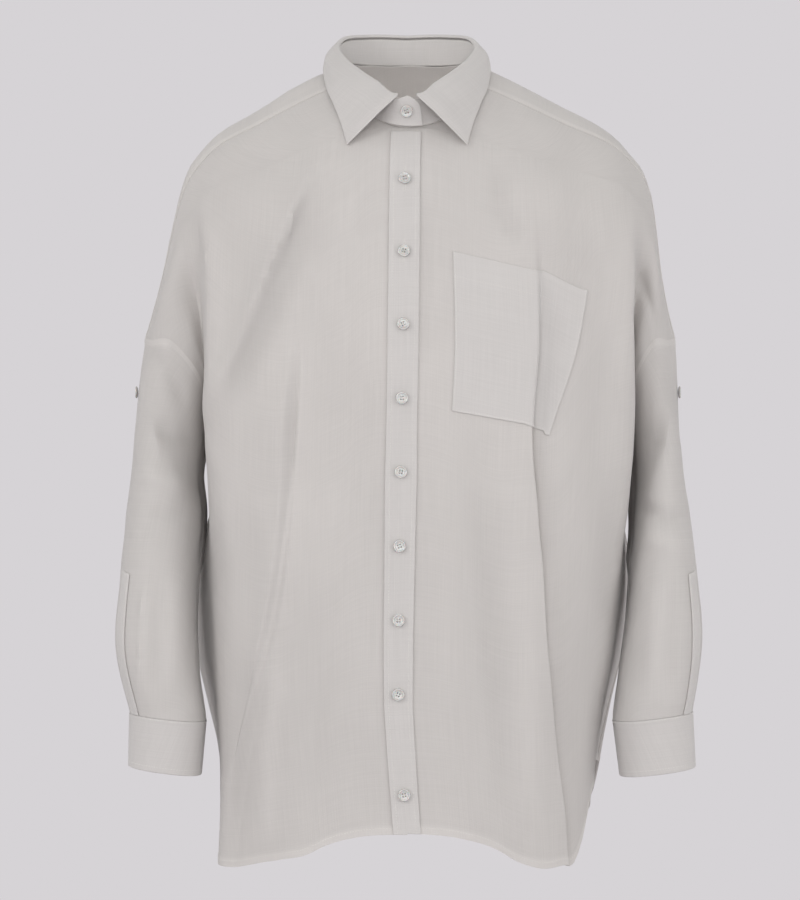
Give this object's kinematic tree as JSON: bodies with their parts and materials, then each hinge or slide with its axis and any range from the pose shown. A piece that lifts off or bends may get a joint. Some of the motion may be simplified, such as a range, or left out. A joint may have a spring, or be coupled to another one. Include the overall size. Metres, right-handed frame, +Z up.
{
  "type": "linen shirt",
  "caption": "Long-sleeved linen shirt with a pointed collar, button front, one chest pocket, dropped shoulders and a curved hem, filled out as worn.",
  "frame": {"origin": "middle of the neck opening, level with the outer ends of the collar's foot on the shoulders; the wearer's neck and shoulders hold it here", "axes": "+Z up along the body, -Y to the front, +X to the wearer's left"},
  "size_m": [0.5501, 0.2834, 0.7921],
  "materials": {
    "linen": "plain-woven off-white linen, matt",
    "button": "pearly white, glossy"
  },
  "bodies": {
    "root": {"back": "linen", "button_1": "button", "button_10": "button", "button_2": "button", "button_3": "button", "button_4": "button", "button_5": "button", "button_6": "button", "button_7": "button", "button_8": "button", "button_9": "button", "collar_fall": "linen", "collar_stand": "linen", "cuff_button_left": "button", "cuff_button_right": "button", "cuff_left": "linen", "cuff_right": "linen", "front_left": "linen", "front_right": "linen", "placket": "linen", "pocket": "linen", "roll_tab_left": "linen", "roll_tab_right": "linen", "sleeve_left": "linen", "sleeve_placket_left": "linen", "sleeve_placket_right": "linen", "sleeve_right": "linen", "tab_button_left": "button", "tab_button_right": "button", "yoke": "linen"}
  },
  "joints": []
}
